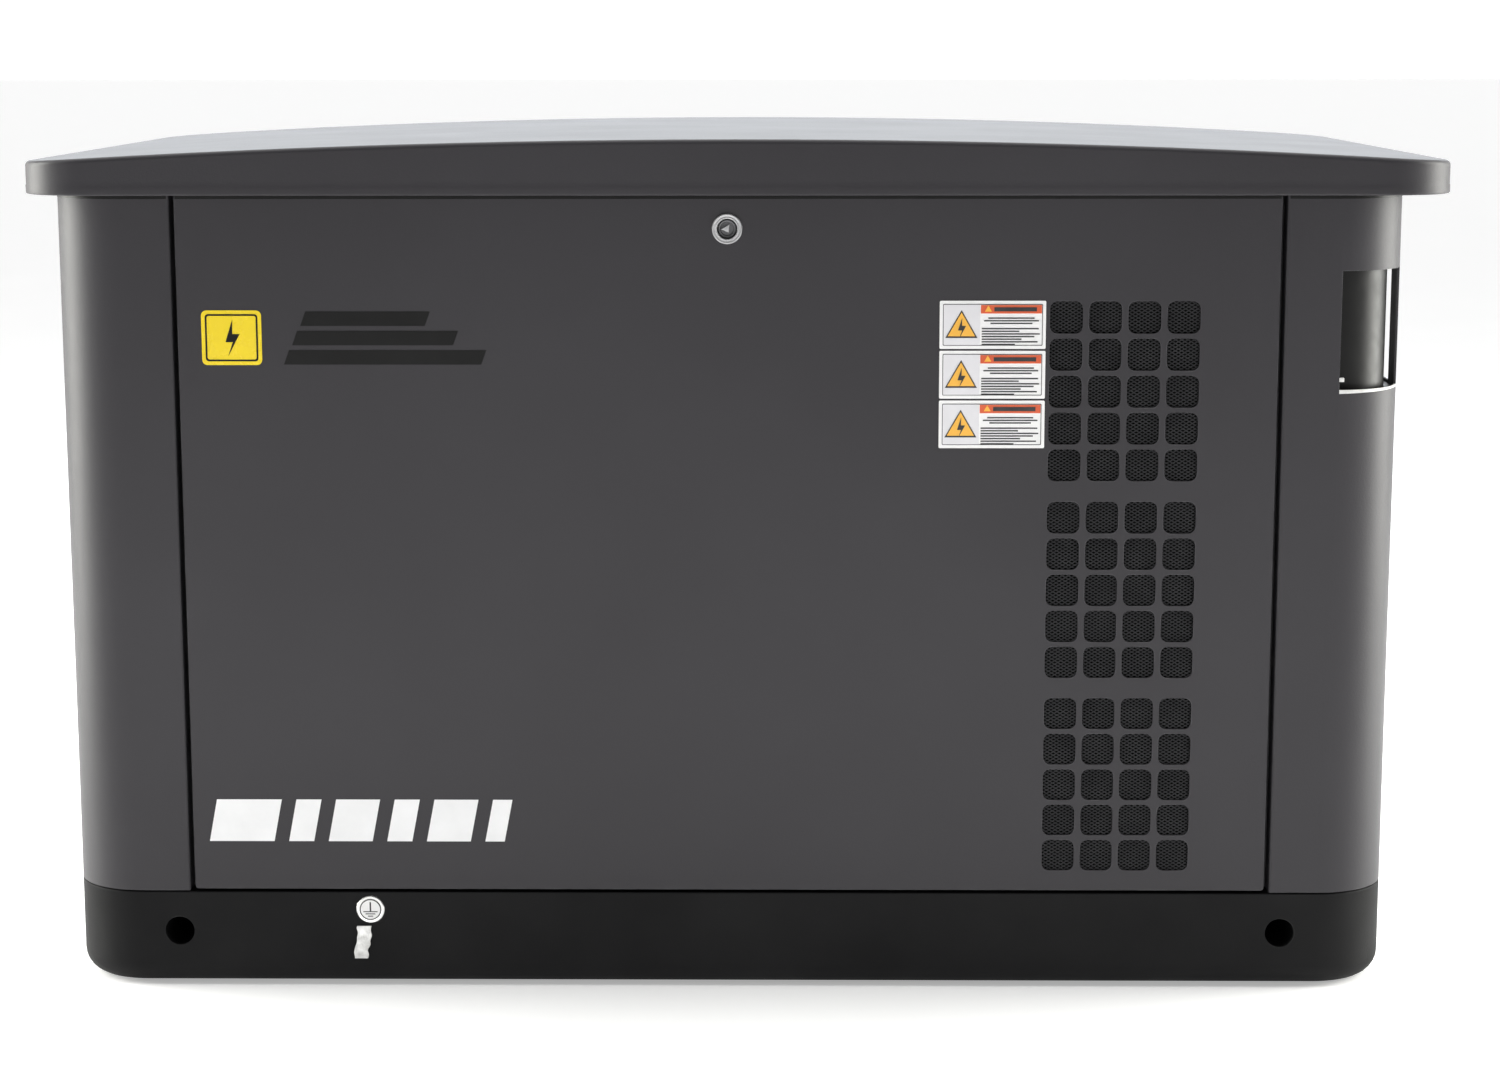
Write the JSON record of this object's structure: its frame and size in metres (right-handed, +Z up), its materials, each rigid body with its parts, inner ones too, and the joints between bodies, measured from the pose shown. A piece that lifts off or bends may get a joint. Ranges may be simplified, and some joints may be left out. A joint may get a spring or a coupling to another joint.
{
  "type": "home standby generator",
  "caption": "Enclosed home standby generator: rounded-end sheet-metal box on a black base, hinged crowned lid with gas struts, pull-off grilled front door, V-twin engine and alternator inside.",
  "frame": {"origin": "centre of the base's underside", "axes": "+Z up, -Y out of the front door, +X to the right seen from the front"},
  "size_m": [1.325, 0.764, 0.81],
  "materials": {
    "case_paint": "fine-texture charcoal powder coat",
    "base_paint": "satin black paint",
    "mesh_black": "black expanded metal",
    "zinc": "zinc plated",
    "bright_zinc": "bright plated",
    "cast_aluminium": "as cast",
    "engine_black": "semi-gloss black",
    "steel": "machined",
    "heat_steel": "heat-stained steel",
    "rubber": "black rubber",
    "foam": "open-cell acoustic foam",
    "orange_filter": "gloss orange",
    "yellow_plastic": "moulded",
    "red_plastic": "moulded",
    "control_plastic": "moulded, fine texture",
    "battery_case": "moulded",
    "black_plastic": "moulded",
    "copper": "varnished copper windings on a steel core"
  },
  "bodies": {
    "enclosure": {"base_pan": "base_paint", "left_end_panel": "case_paint", "right_end_panel": "case_paint", "outlet_baffle": "case_paint", "rear_panel": "case_paint", "top_frame": "case_paint", "exhaust_partition": "zinc", "earth_strap": "bright_zinc", "hinge_base_left": "zinc", "hinge_base_right": "zinc", "crankcase": "cast_aluminium", "cylinder_front": "cast_aluminium", "cylinder_rear": "cast_aluminium", "rocker_cover_front": "engine_black", "rocker_cover_rear": "engine_black", "stator_housing": "engine_black", "alternator_end_cover": "cast_aluminium", "blower_housing": "engine_black", "oil_filter": "orange_filter", "starter_motor": "engine_black", "gas_mixer": "cast_aluminium", "air_cleaner_base": "black_plastic", "exhaust_pipe_front": "heat_steel", "exhaust_pipe_rear": "heat_steel", "muffler": "heat_steel", "cradle_rail_front": "engine_black", "cradle_rail_rear": "engine_black", "vibration_mount_front_left": "rubber", "vibration_mount_front_right": "rubber", "vibration_mount_rear_left": "rubber", "vibration_mount_rear_right": "rubber", "gas_inlet": "zinc", "gas_regulator": "cast_aluminium", "gas_hose": "rubber", "battery": "battery_case", "battery_cable_positive": "red_plastic", "battery_cable_negative": "rubber", "control_box": "control_plastic"},
    "lid": {"lid": "case_paint", "lid_foam": "foam", "hinge_leaf_left": "zinc", "hinge_leaf_right": "zinc"},
    "left_strut_tube": {"strut_tube_left": "engine_black"},
    "left_strut_rod": {"strut_rod_left": "steel"},
    "right_strut_tube": {"strut_tube_right": "engine_black"},
    "right_strut_rod": {"strut_rod_right": "steel"},
    "front_door": {"front_panel": "case_paint", "front_grille_mesh": "mesh_black", "lock_housing": "zinc"},
    "lock": {"lock_barrel": "zinc", "lock_cam": "zinc"},
    "rotating_set": {"flywheel_fan": "engine_black", "crankshaft": "steel", "alternator_rotor": "copper"},
    "mode_switch": {"mode_switch": "black_plastic"},
    "emergency_stop": {"emergency_stop": "red_plastic"},
    "breaker_toggle": {"breaker_toggle": "black_plastic"},
    "oil_cap": {"oil_cap": "yellow_plastic"},
    "dipstick": {"dipstick": "yellow_plastic"},
    "air_cleaner_cover": {"air_cleaner_cover": "black_plastic"}
  },
  "joints": [
    {"name": "lid_hinge", "type": "hinge", "parent": "enclosure", "child": "lid", "pos_m": [0, 0.3655, 0.7575], "axis": [-1, 0, 0], "range_deg": [0, 55]},
    {"name": "left_strut_swing", "type": "hinge", "parent": "enclosure", "child": "left_strut_tube", "pos_m": [-0.585, 0.08726, 0.54829], "axis": [1, 0, 0], "range_deg": [0, 0.6999]},
    {"name": "left_strut_slide", "type": "slide", "parent": "left_strut_tube", "child": "left_strut_rod", "axis": [0, 0.6028, 0.7979], "range_m": [0, 0.10237]},
    {"name": "right_strut_swing", "type": "hinge", "parent": "enclosure", "child": "right_strut_tube", "pos_m": [0.585, 0.08726, 0.54829], "axis": [1, 0, 0], "range_deg": [0, 0.6999]},
    {"name": "right_strut_slide", "type": "slide", "parent": "right_strut_tube", "child": "right_strut_rod", "axis": [0, 0.6028, 0.7979], "range_m": [0, 0.10237]},
    {"name": "front_panel_pull", "type": "slide", "parent": "enclosure", "child": "front_door", "axis": [0, -1, 0], "range_m": [0, 0.35]},
    {"name": "lock_turn", "type": "hinge", "parent": "front_door", "child": "lock", "pos_m": [0, -0.35, 0.727], "axis": [0, 1, 0], "range_deg": [0, 90]},
    {"name": "crank_spin", "type": "hinge", "parent": "enclosure", "child": "rotating_set", "pos_m": [0, 0, 0.36], "axis": [1, 0, 0], "continuous": true},
    {"name": "mode_turn", "type": "hinge", "parent": "enclosure", "child": "mode_switch", "pos_m": [-0.405, -0.2922, 0.62542], "axis": [0, -0.8192, 0.5735], "range_deg": [-60, 60]},
    {"name": "emergency_stop_press", "type": "slide", "parent": "enclosure", "child": "emergency_stop", "axis": [0, 0.8192, -0.5735], "range_m": [0, 0.005], "stiffness_N_per_m": 1500, "springref_m": -0.002},
    {"name": "breaker_tip", "type": "hinge", "parent": "enclosure", "child": "breaker_toggle", "pos_m": [-0.3, -0.27172, 0.64771], "axis": [-1, 0, 0], "range_deg": [0, 44]},
    {"name": "oil_cap_lift", "type": "slide", "parent": "enclosure", "child": "oil_cap", "axis": [0, -0.7071, 0.7071], "range_m": [0, 0.05]},
    {"name": "dipstick_pull", "type": "slide", "parent": "enclosure", "child": "dipstick", "axis": [0, 0, 1], "range_m": [0, 0.09]},
    {"name": "air_cleaner_lift", "type": "slide", "parent": "enclosure", "child": "air_cleaner_cover", "axis": [0, 0, 1], "range_m": [0, 0.075]}
  ],
  "couplings": [
    {"joint": "left_strut_swing", "follows": "lid_hinge", "ratio": 0.012543},
    {"joint": "left_strut_slide", "follows": "lid_hinge", "m_per_rad": 0.10654},
    {"joint": "right_strut_swing", "follows": "lid_hinge", "ratio": 0.012543},
    {"joint": "right_strut_slide", "follows": "lid_hinge", "m_per_rad": 0.10654}
  ]
}
